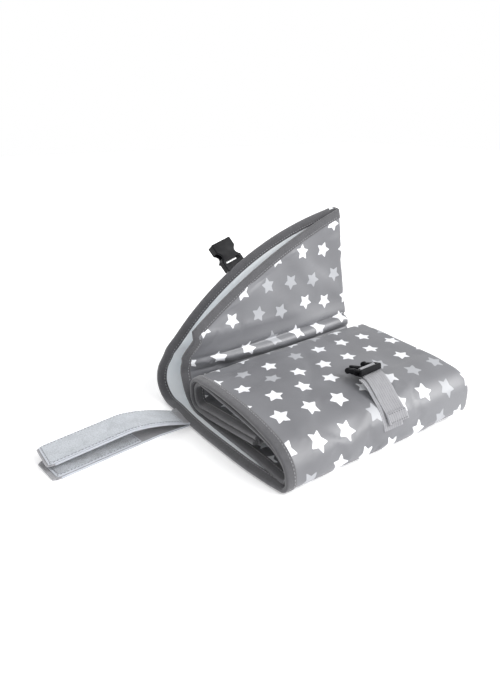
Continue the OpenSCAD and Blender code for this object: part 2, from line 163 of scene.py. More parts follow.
def spline_rows(stations):
    """Rows about one grid step apart on a smooth curve through the stations, and where each
    station's own row is."""
    p = np.array(stations, float)
    steps = np.linalg.norm(np.diff(p[:, :2], axis=0), axis=1)
    steps = np.maximum(steps, np.linalg.norm(np.diff(p[:, 6:8], axis=0), axis=1))
    t = np.r_[0, np.cumsum(steps)]
    slope = np.gradient(p, t, axis=0)
    rows, marks = [], [0]
    for i, step in enumerate(steps):
        n = max(2, int(math.ceil(step / GRID)))
        for k in range(n):
            s = k / n
            h = (2 * s ** 3 - 3 * s ** 2 + 1, s ** 3 - 2 * s ** 2 + s,
                 -2 * s ** 3 + 3 * s ** 2, s ** 3 - s ** 2)
            rows.append(h[0] * p[i] + h[1] * step * slope[i]
                        + h[2] * p[i + 1] + h[3] * step * slope[i + 1])
        marks.append(len(rows))
    rows.append(p[-1])
    return np.array(rows), marks


def strip_rows():
    """Every row of the strip, the row of each station, and the row of the inner leaf's corner."""
    tip = [flap_station(v) for v in (TIP_V, 134.5, 132, 129, 125.5)]
    tip += [flap_station(v) for v in np.linspace(121.5, CORNER_V, 23)[:-1]]
    lower, marks = spline_rows([flap_station(CORNER_V), flap_station(20)] + STATIONS)
    rows = np.vstack([np.array(tip), lower])
    marks = [m + len(tip) for m in marks[2:]]
    return rows, marks, len(tip)


ROWS, MARKS, CORNER_ROW = strip_rows()


def leaf_points(row, leaf, shares):
    """Points across one leaf's outer face at these shares of the way from the fold to the edge."""
    outer = leaf == "outer"
    fold_yz = row[0:2] if outer else row[2:4]
    edge = row[5:8] if outer else row[8:11]
    power = row[11] if outer else row[12]
    half = np.linalg.norm(row[0:2] - row[2:4]) / 2
    fold_x = row[4] - half
    pts = np.empty((len(shares), 3))
    pts[:, 0] = fold_x + (edge[0] - fold_x) * shares
    # a straight part and a part kept near the edge, so that no leaf turns sharply
    ease = shares ** power
    pts[:, 1] = fold_yz[0] + (edge[1] - fold_yz[0]) * ease
    # the inner leaf's crease drops evenly to the left
    low, high = CREASE_EVEN
    even = 0.0 if outer else float(np.clip((row[3] - low) / (high - low), 0, 1))
    drop = shares ** (1 + (power - 1) * (1 - even))
    pts[:, 2] = fold_yz[1] + (edge[2] - fold_yz[1]) * drop
    return pts


def strip_grid():
    """The printed face of the whole strip as rows of points, from the outer leaf's left edge,
    round the fold, to the inner leaf's left edge, with each point's place on the flat cloth."""
    grid, flat = [], []
    middle = (ROWS[:, 0:2] + ROWS[:, 2:4]) / 2
    for row, s in zip(ROWS, distances(middle)):
        half = np.linalg.norm(row[0:2] - row[2:4]) / 2
        line, places = [], []
        for leaf, edge in (("outer", row[5:8]), ("inner", row[8:11])):
            width = row[4] - half - edge[0]
            shares = np.linspace(0, 1 - min(TUCK / width, 0.45), COLUMNS)
            pts = leaf_points(row, leaf, shares)
            reach = shares * width + half * math.pi / 2
            if leaf == "outer":
                line.append(pts[::-1])
                places.append(-reach[::-1])
                centre = np.r_[row[4] - half, (row[0:2] + row[2:4]) / 2]
                arm = np.r_[0, (row[0:2] - row[2:4]) / 2]
                bow = np.array([half, 0, 0])
                line.append([centre + arm * math.cos(a) + bow * math.sin(a) for a in TURN])
                places.append(half * (TURN - math.pi / 2))
            else:
                line.append(pts)
                places.append(reach)
        grid.append(np.vstack(line))
        places = np.concatenate(places)
        flat.append(np.column_stack([places, np.full(len(places), s)]))
    return np.array(grid), np.array(flat)


def normals_of(grid):
    """Unit normals of a grid of points, pointing out of the printed face."""
    return unit(np.cross(np.gradient(grid, axis=1), np.gradient(grid, axis=0)))


# ---- materials ----

def new_material(name, colour, roughness, **inputs):
    """A material with its principled shader's own sockets set, its node arithmetic and its
    shader."""
    mat = bpy.data.materials.new(name)
    mat.use_nodes = True
    shader = mat.node_tree.nodes["Principled BSDF"]
    shader.inputs["Base Color"].default_value = (*colour, 1)
    shader.inputs["Roughness"].default_value = roughness
    for key, value in inputs.items():
        shader.inputs[key.replace("_", " ")].default_value = value
    return mat, Maths(mat.node_tree), shader


class Maths:
    """Short ways to write node arithmetic."""

    def __init__(self, tree):
        self.tree = tree

    def node(self, kind, **settings):
        made = self.tree.nodes.new(kind)
        for key, value in settings.items():
            setattr(made, key, value)
        return made

    def put(self, socket, value):
        if isinstance(value, bpy.types.NodeSocket):
            self.tree.links.new(value, socket)
        else:
            socket.default_value = value

    def do(self, operation, *values):
        made = self.node("ShaderNodeMath", operation=operation)
        for socket, value in zip(made.inputs, values):
            self.put(socket, value)
        return made.outputs[0]

    def ramp(self, value, low, high, to_low=0.0, to_high=1.0):
        made = self.node("ShaderNodeMapRange", interpolation_type="SMOOTHSTEP")
        for socket, v in zip(made.inputs, (value, low, high, to_low, to_high)):
            self.put(socket, v)
        return made.outputs[0]

    def mix(self, share, a, b):
        made = self.node("ShaderNodeMix", data_type="RGBA")
        self.put(made.inputs[0], share)
        for socket, v in ((made.inputs[6], a), (made.inputs[7], b)):
            self.put(socket, v if isinstance(v, bpy.types.NodeSocket) else (*v, 1))
        return made.outputs[2]

    def flat_place(self):
        """The place on the flat cloth, in millimetres, as two values."""
        uv = self.node("ShaderNodeUVMap", uv_map="flat")
        parts = self.node("ShaderNodeSeparateXYZ")
        self.put(parts.inputs[0], uv.outputs[0])
        return tuple(self.do("MULTIPLY", parts.outputs[k], 1 / MM) for k in (0, 1))

    def noise(self, scale, detail=3.0):
        made = self.node("ShaderNodeTexNoise")
        made.inputs["Scale"].default_value = scale
        made.inputs["Detail"].default_value = detail
        self.put(made.inputs["Vector"], self.node("ShaderNodeTexCoord").outputs["Object"])
        return made.outputs["Fac"]

    def sum(self, *values):
        """The values added up, each one a pair of a value and its weight."""
        total = None
        for value, weight in values:
            plain = not isinstance(weight, bpy.types.NodeSocket) and weight == 1
            part = value if plain else self.do("MULTIPLY", value, weight)
            total = part if total is None else self.do("ADD", total, part)
        return total

    def bump(self, shader, height, strength, distance):
        made = self.node("ShaderNodeBump")
        made.inputs["Strength"].default_value = strength
        made.inputs["Distance"].default_value = distance
        self.put(made.inputs["Height"], height)
        self.put(shader.inputs["Normal"], made.outputs[0])

    def threads(self, u, v, pitch):
        """A plain weave's height: two sets of threads, each passing over and under."""
        a = self.do("SINE", self.do("MULTIPLY", u, 2 * math.pi / pitch))
        b = self.do("SINE", self.do("MULTIPLY", v, 2 * math.pi / pitch))
        return self.do("MULTIPLY", a, b)


STAR_R = 9.7                         # from a star's centre to its points, before they are blunted
STAR_BLUNT = 0.7                     # how much of each point is blunted off
STAR_WAIST = 0.53                    # the notches' distance from the centre, as a share of STAR_R
STAR_DRIFT = 6.0                     # spread of the stars' places about their rows and columns
STAR_PITCH = (34.0, 29.5)            # spacing of the columns and of the rows
PALE_SHARE = 0.43                    # share of the stars that are pale grey


def star_cloth():
    """Satin woven cloth, mid grey, printed with white and pale grey five-point stars."""
    mat, m, shader = new_material("star_cloth", (0.16, 0.16, 0.172), 0.45, Sheen_Weight=0.1,
                                  Sheen_Roughness=0.4, Specular_IOR_Level=1.0)
    u, v = m.flat_place()
    row_place = m.do("DIVIDE", v, STAR_PITCH[1])
    row = m.do("FLOOR", row_place)
    shift = m.do("MULTIPLY", m.do("FLOORED_MODULO", row, 2.0), 0.5)
    column_place = m.do("ADD", m.do("DIVIDE", u, STAR_PITCH[0]), shift)
    column = m.do("FLOOR", column_place)
    cell = m.node("ShaderNodeCombineXYZ")
    m.put(cell.inputs[0], column)
    m.put(cell.inputs[1], row)
    dice = m.node("ShaderNodeTexWhiteNoise", noise_dimensions="3D")
    m.put(dice.inputs[0], cell.outputs[0])
    rolls = m.node("ShaderNodeSeparateXYZ")
    m.put(rolls.inputs[0], dice.outputs["Color"])
    x = m.do("MULTIPLY", m.do("SUBTRACT", m.do("FRACT", column_place), 0.5), STAR_PITCH[0])
    y = m.do("MULTIPLY", m.do("SUBTRACT", m.do("FRACT", row_place), 0.5), STAR_PITCH[1])
    x = m.sum((x, 1), (m.do("SUBTRACT", rolls.outputs[0], 0.5), STAR_DRIFT))
    y = m.sum((y, 1), (m.do("SUBTRACT", dice.outputs["Value"], 0.5), STAR_DRIFT))
    radius = m.do("SQRT", m.sum((x, x), (y, y)))
    fifth = math.radians(72)
    angle = m.sum((m.do("ARCTAN2", y, x), 1), (rolls.outputs[1], fifth))
    angle = m.do("ABSOLUTE", m.do("SUBTRACT", m.do("FLOORED_MODULO", angle, fifth), fifth / 2))
    px = m.do("MULTIPLY", radius, m.do("COSINE", angle))
    py = m.do("MULTIPLY", radius, m.do("SINE", angle))
    waist = (STAR_WAIST * STAR_R * math.cos(fifth / 2), STAR_WAIST * STAR_R * math.sin(fifth / 2))
    side = math.hypot(waist[0] - STAR_R, waist[1])
    nx, ny = waist[1] / side, (STAR_R - waist[0]) / side
    depth = m.do("SUBTRACT", nx * STAR_R, m.sum((px, nx), (py, ny)))
    trim = m.do("SUBTRACT", STAR_R - STAR_BLUNT, radius)
    mask = m.ramp(m.do("MINIMUM", depth, trim), -0.12, 0.12)
    white = m.ramp(rolls.outputs[2], PALE_SHARE - 0.01, PALE_SHARE + 0.01)
    star = m.mix(white, (0.4, 0.41, 0.435), (0.86, 0.87, 0.9))
    cloud = m.ramp(m.noise(14.0, 2.0), 0.3, 0.7)
    ground = m.mix(cloud, (0.138, 0.14, 0.153), (0.182, 0.185, 0.2))
    m.put(shader.inputs["Base Color"], m.mix(mask, ground, star))
    m.put(shader.inputs["Roughness"], m.ramp(m.noise(40.0), 0.2, 0.8, 0.4, 0.5))
    m.bump(shader, m.threads(u, v, 0.55), 0.12, 0.0002)
    return mat


def lining_cloth():
    """Smooth wipe-clean lining, white with a cool cast."""
    mat, m, shader = new_material("lining_cloth", (0.88, 0.92, 0.95), 0.5, Sheen_Weight=0.1)
    cloud = m.ramp(m.noise(25.0), 0.3, 0.7)
    m.put(shader.inputs["Base Color"], m.mix(cloud, (0.86, 0.91, 0.945), (0.91, 0.94, 0.965)))
    m.bump(shader, m.noise(300.0, 2.0), 0.12, 0.0004)
    return mat


THREAD_PITCH = 0.9                   # spacing of the threads across a woven tape


def woven_tape(name, dark, light, rib, groove=0.0):
    """Ribbed narrow tape: ribs run along it, rib millimetres apart, with fine threads across and
    shade painted dark into the grooves between the ribs."""
    mat, m, shader = new_material(name, dark, 0.72, Sheen_Weight=0.35, Sheen_Roughness=0.5)
    u, v = m.flat_place()
    ribs = m.do("ABSOLUTE", m.do("SINE", m.do("MULTIPLY", u, math.pi / rib)))
    # threads across, each rib half a thread on from the one beside it
    rib_number = m.do("FLOOR", m.do("DIVIDE", u, rib))
    cross = m.do("SINE", m.sum((v, 2 * math.pi / THREAD_PITCH), (rib_number, math.pi)))
    fleck = m.noise(900.0, 2.0)
    broad = m.noise(160.0, 2.0)
    if groove:
        ribs = m.ramp(ribs, 0.0, groove * 2)
    # the colour: painted shade darkening each groove between the ribs and lighter rib crests, with
    # the threads across and random flecks
    share = m.sum((ribs, 0.45 + groove), (cross, 0.06), (fleck, 0.35), (broad, 0.3))
    m.put(shader.inputs["Base Color"], m.mix(m.ramp(share, 0.15, 1.05 + groove), dark, light))
    m.bump(shader, m.sum((ribs, 1), (cross, 0.15)), 0.5 + groove, 0.0003)
    return mat


def thread(name, dark, light):
    """Twisted sewing thread."""
    mat, m, shader = new_material(name, dark, 0.6, Sheen_Weight=0.3)
    m.put(shader.inputs["Base Color"], m.mix(m.noise(2500.0, 1.0), dark, light))
    return mat


def pile_tape(name, dark, light, scale, strength):
    """Hook or loop tape: a close pile that catches the light unevenly."""
    mat, m, shader = new_material(name, dark, 0.85, Sheen_Weight=0.6, Sheen_Roughness=0.6)
    pile = m.noise(scale)
    share = m.sum((pile, 0.7), (m.noise(90.0, 2.0), 0.3))
    m.put(shader.inputs["Base Color"], m.mix(m.ramp(share, 0.3, 0.7), dark, light))
    m.bump(shader, pile, strength, 0.0006)
    return mat


def moulded_plastic():
    """Black moulded plastic with a fine spark-eroded grain."""
    mat, m, shader = new_material("moulded_plastic", (0.005, 0.005, 0.006), 0.36,
                                  Specular_IOR_Level=0.12)
    grain = m.noise(1400.0, 2.0)
    m.put(shader.inputs["Roughness"], m.ramp(m.noise(200.0), 0.2, 0.8, 0.34, 0.48))
    m.put(shader.inputs["Base Color"], m.mix(grain, (0.004, 0.004, 0.005), (0.009, 0.009, 0.011)))
    m.bump(shader, grain, 0.12, 0.0002)
    return mat


MATERIALS = {
    "star": star_cloth(),
    "lining": lining_cloth(),
    "binding": woven_tape("binding_tape", (0.036, 0.036, 0.04), (0.125, 0.124, 0.134), 0.8),
    "webbing": woven_tape("webbing", (0.13, 0.13, 0.14), (0.34, 0.34, 0.36), 2.9, groove=0.2),
    "web_edge": woven_tape("web_edge", (0.36, 0.36, 0.38), (0.56, 0.56, 0.59), 0.7),
    "thread_pale": thread("thread_pale", (0.26, 0.26, 0.275), (0.4, 0.4, 0.42)),
    "thread_dark": thread("thread_dark", (0.06, 0.06, 0.066), (0.15, 0.15, 0.16)),
    "thread_strap": thread("thread_strap", (0.17, 0.175, 0.19), (0.3, 0.31, 0.33)),
    "selvedge": woven_tape("selvedge", (0.4, 0.42, 0.46), (0.56, 0.59, 0.64), 0.7),
    "loop": pile_tape("loop_pile", (0.26, 0.28, 0.31), (0.43, 0.46, 0.5), 800.0, 0.5),
    "hook": pile_tape("hook_pile", (0.16, 0.17, 0.19), (0.46, 0.49, 0.54), 1300.0, 0.9),
    "plastic": moulded_plastic(),
}


# ---- mesh helpers ----

THREAD_SIDES = 6                    # sides of a stitch's thread
STITCH_L, STITCH_PITCH, STITCH_R = 2.2, 3.3, 0.34    # a stitch's length, spacing and radius
STITCH_FROM = 0.8                   # where the first stitch of a run starts


def linked(name, data):
    """A new object in the scene."""
    obj = bpy.data.objects.new(name, data)
    bpy.context.scene.collection.objects.link(obj)
    return obj


def new_mesh(name, verts, faces, places, kinds, materials):
    """A smooth mesh from points in millimetres, with its flat places and its materials."""
    mesh = bpy.data.meshes.new(name)
    mesh.from_pydata([tuple(v * MM) for v in verts], [], faces)
    for key in materials:
        mesh.materials.append(MATERIALS[key])
    mesh.polygons.foreach_set("material_index", kinds)
    mesh.polygons.foreach_set("use_smooth", [True] * len(faces))
    layer = mesh.uv_layers.new(name="flat")
    corners = [places[i] for face in faces for i in face]
    layer.data.foreach_set("uv", (np.asarray(corners, float) * MM).ravel())
    return mesh


class Shape:
    """Collects the points, faces, flat places and material numbers of one object, in
    millimetres."""

    def __init__(self):
        self.verts, self.places, self.faces, self.kinds = [], [], [], []

    def add(self, verts, places, faces, kind):
        base = len(self.verts)
        self.verts += [np.asarray(v, float) for v in verts]
        self.places += list(places)
        self.faces += [tuple(base + i for i in face) for face in faces]
        self.kinds += [kind] * len(faces)

    def rings(self, rings, places, kind):
        """A skin over rings of equal length, closed at both ends."""
        size = len(rings[0])
        faces = []
        for i in range(len(rings) - 1):
            for j in range(size):
                k = (j + 1) % size
                faces.append((i * size + j, i * size + k, (i + 1) * size + k, (i + 1) * size + j))
        faces.append(tuple(range(size))[::-1])
        faces.append(tuple((len(rings) - 1) * size + j for j in range(size)))
        verts = [v for ring in rings for v in ring]
        self.add(verts, [q for ring in places for q in ring], faces, kind)

    def ribbon(self, line, side, up, width, thick, kind=0, shift=0.0):
        """A flat tape along a line of points, side and up being its own directions."""
        line = np.asarray(line, float)
        side = np.broadcast_to(np.asarray(side, float), line.shape)
        up = np.broadcast_to(np.asarray(up, float), line.shape)
        width = np.broadcast_to(np.asarray(width, float), len(line))
        shift = np.broadcast_to(np.asarray(shift, float), len(line))
        along = distances(line)
        soft = min(thick * 0.4, 0.4)
        rings, places = [], []
        for p, sd, u, w, d, off in zip(line, side, up, width, along, shift):
            flat_run = np.linspace(-w / 2 + soft, w / 2 - soft, 9)
            ring = [(x, thick / 2) for x in flat_run]
            ring += [(w / 2, thick / 2 - soft), (w / 2, soft - thick / 2)]
            ring += [(x, -thick / 2) for x in flat_run[::-1]]
            ring += [(-w / 2, soft - thick / 2), (-w / 2, thick / 2 - soft)]
            rings.append([p + sd * (x + off) + u * z for x, z in ring])
            places.append([(x, d) for x, z in ring])
        self.rings(rings, places, kind)

    def stitch(self, start, end, up, kind):
        """One stitch: a short thread, low at its ends and proud in its middle."""
        way = unit(end - start)
        side = np.cross(way, up)
        turns = [2 * math.pi * k / THREAD_SIDES for k in range(THREAD_SIDES)]
        rings = []
        for t, r, rise in ((0, 0.15, -0.25), (0.25, 1, 0.1), (0.75, 1, 0.1), (1, 0.15, -0.25)):
            centre = start + (end - start) * t + up * rise
            rings.append([centre + STITCH_R * r * (side * math.cos(a) + up * math.sin(a))
                          for a in turns])
        self.rings(rings, [[(0, 0)] * THREAD_SIDES] * len(rings), kind)

    def stitches(self, line, ups, kind):
        """A run of stitches along a line of points, with the way up at each point."""
        line = np.asarray(line, float)
        ups = np.broadcast_to(np.asarray(ups, float), line.shape)
        steps = distances(line)

        def at(d, values):
            return np.array([np.interp(d, steps, values[:, k]) for k in range(3)])

        d = STITCH_FROM
        while d + STITCH_L < steps[-1]:
            self.stitch(at(d, line), at(d + STITCH_L, line), unit(at(d + STITCH_L / 2, ups)), kind)
            d += STITCH_PITCH

    def moulding(self, outline, thick, bevel, matrix, holes=()):
        """A plate of this outline in its own X and Y, thick in Z, with rounded borders."""
        curve = bpy.data.curves.new("outline", "CURVE")
        curve.dimensions = "2D"
        curve.fill_mode = "BOTH"
        curve.extrude = thick / 2 - bevel
        curve.bevel_depth = bevel
        curve.offset = -bevel
        curve.bevel_resolution = 3
        for ring in [outline, *holes]:
            spline = curve.splines.new("POLY")
            spline.points.add(len(ring) - 1)
            for point, (x, y) in zip(spline.points, ring):
                point.co = (x, y, 0, 1)
            spline.use_cyclic_u = True
        obj = linked("outline", curve)
        bpy.context.view_layer.update()
        mesh = bpy.data.meshes.new_from_object(
            obj.evaluated_get(bpy.context.evaluated_depsgraph_get()))
        verts = [matrix @ v.co for v in mesh.vertices]
        self.add(verts, [(0, 0)] * len(verts), [tuple(f.vertices) for f in mesh.polygons], 0)
        bpy.data.objects.remove(obj)
        bpy.data.curves.remove(curve)
        bpy.data.meshes.remove(mesh)

    def make(self, name, materials, sharp=40.0):
        """The finished object, with its faces turned outwards."""
        mesh = new_mesh(name, self.verts, self.faces, self.places, self.kinds, materials)
        bm = bmesh.new()
        bm.from_mesh(mesh)
        bmesh.ops.remove_doubles(bm, verts=bm.verts, dist=1e-7)
        bmesh.ops.recalc_face_normals(bm, faces=bm.faces)
        bm.to_mesh(mesh)
        bm.free()
        mesh.set_sharp_from_angle(angle=math.radians(sharp))
        return linked(name, mesh)


# ---- the mat: printed cloth, foam and lining ----

QUILT_LIFT = 1.5                    # the padding's unevenness, in millimetres
QUILT_WAVES = 10
SWELL_RUN = 14.0                    # how far in from the borders the padding reaches its height
PRESS_HALF = 23.0                   # half the width of cloth that the buckle's webbing presses
WRINKLE_LIFT = 0.42                 # the small folds' height
WRINKLE_Z, WRINKLE_REACH = 45.5, 6.5      # how high on the pad they lie, and how far they reach


def quilt_wave(flat):
    """Soft unevenness of the padding, from -1 to 1, by the place on the cloth."""
    u, s = flat[..., 0], flat[..., 1]
    total = np.zeros(u.shape)
    dice = random.Random(5)
    for _ in range(QUILT_WAVES):
        angle = dice.uniform(0, math.pi)
        wave = dice.uniform(38, 95)
        phase = dice.uniform(0, 2 * math.pi)
        total += np.sin((u * math.cos(angle) + s * math.sin(angle)) * 2 * math.pi / wave + phase)
    return total / QUILT_WAVES


def pressed(grid):
    """1 over the cloth, falling to 0 where the buckle's webbing lies on it."""
    x, y, z = grid[..., 0], grid[..., 1], grid[..., 2]
    beside = np.exp(-((x - WEB_MIDDLE) / PRESS_HALF) ** 4)
    shoulder = np.clip((-28 - y) / 8.0, 0, 1) * np.clip((z - 12) / 6.0, 0, 1)
    return 1 - beside * shoulder


def crease_wrinkles(grid):
    """Small folds in the inner leaf under its crease, in millimetres."""
    x, y, z = grid[..., 0], grid[..., 1], grid[..., 2]
    place = (z + (110 - x) * 0.03 - WRINKLE_Z) / WRINKLE_REACH
    front = (y < 101) & (y > 84) & (z > 30)
    wave = (np.sin(x / 6.1 + z / 4.0) + 0.8 * np.sin(x / 10.7 - z / 5.0 + 1.3)
            + 0.6 * np.sin(x / 3.7 + 0.4))
    return np.where(front, WRINKLE_LIFT * wave * np.exp(-place ** 2), 0.0)


LOOSE_RUN = 16.0                    # how far in from the tape the cloth becomes loose
CLOTH_FREE = 0.94                   # how far loose cloth is let go from its place
CLOTH_FRAMES = 16
CLOTH_GROWTH = 0.014                # how much longer the cloth is than the padding under it
CLOTH_CAP = 1.0                     # the most the cloth may stand off its padding, in millimetres


def cloth_sag(grid, n, free):
    """Millimetres by which the printed face stands off its padding: a cloth simulation of the
    face, cut a little larger than the strip, sewn down where free is 0 and loose where it is 1."""
    rows, columns = free.shape
    mesh = bpy.data.meshes.new("loose_face")
    corners = (0, 1, columns + 1, columns)
    faces = [tuple(i * columns + j + corner for corner in corners)
             for i in range(rows - 1) for j in range(columns - 1)]
    mesh.from_pydata([tuple(v) for v in grid.reshape(-1, 3) * MM], [], faces)
    face = linked("loose_face", mesh)
    scene = bpy.context.scene
    sewn = face.vertex_groups.new(name="sewn")
    hold = np.round(1 - CLOTH_FREE * free.ravel(), 2)
    for weight in np.unique(hold):
        sewn.add([int(i) for i in np.flatnonzero(hold == weight)], float(weight), "REPLACE")
    cloth = face.modifiers.new("loose_face", "CLOTH")
    settings = cloth.settings
    settings.quality = 6
    settings.mass = 0.2
    settings.tension_stiffness = 25
    settings.compression_stiffness = 25
    settings.shear_stiffness = 10
    settings.bending_stiffness = 2.0
    settings.shrink_min = -CLOTH_GROWTH
    settings.vertex_group_mass = "sewn"
    settings.effector_weights.gravity = 0
    cloth.collision_settings.use_collision = False
    cloth.collision_settings.use_self_collision = False
    cloth.point_cache.frame_start, cloth.point_cache.frame_end = 1, CLOTH_FRAMES
    for frame_number in range(1, CLOTH_FRAMES + 1):
        scene.frame_set(frame_number)
    settled = face.evaluated_get(bpy.context.evaluated_depsgraph_get()).to_mesh()
    at = np.zeros(rows * columns * 3, np.float32)
    settled.vertices.foreach_get("co", at)
    moved = at.reshape(grid.shape) / MM - grid
    bpy.data.objects.remove(face)
    bpy.data.meshes.remove(mesh)
    scene.frame_set(1)
    return CLOTH_CAP * np.tanh((moved * n).sum(axis=2) / CLOTH_CAP)


def room_inside(grid):
    """0 under the tape along the strip's borders and ends, growing to 1 a little inside them."""
    steps = np.linalg.norm(np.diff(grid, axis=1), axis=2)
    run = np.pad(np.cumsum(steps, axis=1), ((0, 0), (1, 0)))
    aside = np.minimum(run, run[:, -1:] - run)
    ends = np.minimum(np.arange(len(grid)), np.arange(len(grid))[::-1]) * GRID
    return np.clip((np.minimum(aside, ends[:, None]) - BIND_W) / LOOSE_RUN, 0, 1)


def mat_surfaces():
    """The printed face and the lining face of the whole strip, and the flat places."""
    grid, flat = strip_grid()
    n = normals_of(grid)
    columns = grid.shape[1]
    edge = np.minimum(np.arange(columns), np.arange(columns)[::-1]) * GRID
    swell = 1 - np.exp(-edge / SWELL_RUN)
    lift = QUILT_LIFT * quilt_wave(flat) * pressed(grid) + crease_wrinkles(grid)
    lift = lift * swell[None, :]
    loose = pressed(grid) * room_inside(grid)
    padded = grid + n * lift[..., None]
    padded = padded + n * (cloth_sag(padded, n, loose) * loose)[..., None]
    return padded, grid - n * LEAF_T, flat


def mat_piece(name, surfaces, r0, r1):
    """One piece of the mat between two rows: printed face, lining face and closed edges."""
    outer, lining, flat = surfaces
    rows, columns = r1 - r0 + 1, outer.shape[1]
    verts = np.vstack([g[r0:r1 + 1].reshape(-1, 3) for g in (outer, lining)])
    normals = np.vstack([normals_of(outer)[r0:r1 + 1].reshape(-1, 3),
                         -normals_of(lining)[r0:r1 + 1].reshape(-1, 3)])
    places = np.vstack([flat[r0:r1 + 1].reshape(-1, 2)] * 2)
    under = rows * columns
    faces, kinds = [], []
    for i in range(rows - 1):
        for j in range(columns - 1):
            a, b = i * columns + j, i * columns + j + 1
            c, d = b + columns, a + columns
            faces += [(a, b, c, d), (under + a, under + d, under + c, under + b)]
            kinds += [0, 1]
        for j, turn in ((0, 1), (columns - 1, -1)):
            a, d = i * columns + j, (i + 1) * columns + j
            faces.append((a, d, under + d, under + a)[::turn])
            kinds.append(1)
    for row, whole_end, turn in ((0, 0, -1), (rows - 1, len(outer) - 1, 1)):
        if r0 + row == whole_end:
            for j in range(columns - 1):
                a = row * columns + j
                faces.append((a, a + 1, under + a + 1, under + a)[::turn])
                kinds.append(1)
    mesh = new_mesh("mat_" + name, verts, faces, places, kinds, ("star", "lining"))
    mesh.normals_split_custom_set_from_vertices([tuple(v) for v in normals])
    return linked("mat_" + name, mesh)


def bend_piece(obj, bend):
    """Bakes a piece's place into its mesh; the start and end of its bend across its joint are
    worked out but not used.
    """
    kind, low, high = bend
    if kind == "flap":
        start, end = (Vector(on_flap(0, 0, v)) * MM for v in (low, high))
        start.x = end.x = 0
    else:
        way = Vector((0, 1, 0)) if kind == "back" else Vector((0, 0, 1))
        start, end = way * low * MM, way * high * MM
    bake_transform(obj)


def piece_rows(first, last):
    """The first and last row of a piece."""
    return (0 if first is None else MARKS[first]), MARKS[last]


def build_mat():
    """The padded mat, cut into pieces at each fold."""
    surfaces = mat_surfaces()
    for name, first, last, bodies, bend, stands_for in PIECES:
        obj = mat_piece(name, surfaces, *piece_rows(first, last))
        bend_piece(obj, bend)
        nodes = [f"{p}_{layer}" for p in stands_for for layer in ("shell", "foam", "lining")]
        if name == "flap":
            nodes.append("crease_welt")
        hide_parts(*nodes)


# ---- binding tape ----

TAPE_SEAM = 2.3                     # from the tape's inner border to its stitches
CORNER_CLEAR = 7                    # the tape skips rows nearer than this to the inner corner
CORNER_STRETCH = 1.13               # how much further the tape reaches in at that corner
END_OVERHANG = 2.5                  # how far the end tape reaches past the cloth


def edge_frames(leaf, grid):
    """Points along one leaf's bound edge, with the way in and the way out of the printed face."""
    points = ROWS[:, 5:8] if leaf == "outer" else ROWS[:, 8:11]
    column = 0 if leaf == "outer" else -1
    n = normals_of(grid)[:, column]
    tangent = unit(np.gradient(points, axis=0))
    inward = unit(np.cross(n, tangent))
    inward *= np.sign(np.sum((grid[:, column] - points) * inward, axis=1))[:, None]
    out = np.cross(tangent, inward)
    out *= np.sign(np.sum(out * n, axis=1))[:, None]
    return points, inward, out


def tape_section():
    """The folded tape's outline as (in, out) pairs: over the edge and back."""
    top, bottom = BIND_PROUD, -LEAF_T - BIND_PROUD
    mid, half = (top + bottom) / 2, (top - bottom) / 2 - 0.15
    pts = [(BIND_W - 0.2, top - 0.7), (BIND_W, top - 0.35), (BIND_W - 0.3, top), (8, top + 0.08),
           (5, top + 0.03)]
    for a in np.radians(np.linspace(90, 270, 9)):
        pts.append((2.2 + 2.2 * math.cos(a), mid + half * math.sin(a)))
    pts += [(x, 2 * mid - y) for x, y in pts[4::-1]]
    return pts


def tape_piece(name, points, inward, out, keep, stretch=None):
    """The tape along a bound edge through the kept rows, with its stitches on both faces."""
    section = tape_section()
    wrap = np.r_[0, np.cumsum([math.dist(a, b) for a, b in zip(section, section[1:])])]
    points, inward, out = points[keep], inward[keep], out[keep]
    reach = np.ones(len(keep)) if stretch is None else stretch[keep]
    along = distances(points)
    shape = Shape()
    rings = [[p + i * a * k + o * b for a, b in section]
             for p, i, o, k in zip(points, inward, out, reach)]
    shape.rings(rings, [[(w, d) for w in wrap] for d in along], 0)
    across = BIND_W - TAPE_SEAM
    for face in (1, -1):
        level = BIND_PROUD + 0.1 if face > 0 else -LEAF_T - BIND_PROUD - 0.1
        line = points + inward * (across * reach)[:, None] + out * level
        shape.stitches(line, out * face, 1)
    return shape.make(name, ("binding", "thread_pale"), 60)


def build_binding():
    """The tape along both leaves, across the end and over the tip."""
    grid = strip_grid()[0]
    for leaf in ("outer", "inner"):
        points, inward, out = edge_frames(leaf, grid)
        stretch = np.ones(len(points))
        near = np.zeros(len(points), bool)
        if leaf == "inner":
            near = np.linalg.norm(points - points[CORNER_ROW], axis=1) < CORNER_CLEAR
            near[CORNER_ROW] = False
            stretch[CORNER_ROW] = CORNER_STRETCH
        for name, first, last, bodies, bend, stands_for in PIECES:
            r0, r1 = piece_rows(first, last)
            keep = [r for r in range(r0, r1 + 1) if not near[r]]
            obj = tape_piece(f"binding_{leaf}_{name}", points, inward, out, keep, stretch)
            bend_piece(obj, bend)
            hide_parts(*[f"{p}_binding" for p in stands_for])
    build_end_binding(grid)
    build_tip_binding()


def build_end_binding(grid):
    """The tape across the inner panel's far end, round both leaves and the fold between them."""
    out = normals_of(grid)[-1]
    inward = unit(grid[-3] - grid[-1])
    points = grid[-1] - inward * END_OVERHANG
    obj = tape_piece("binding_end", points, inward, out, list(range(len(points))))
    bodies, bend = PIECES[-1][3:5]
    bend_piece(obj, bend)
    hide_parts("inner_end_binding")


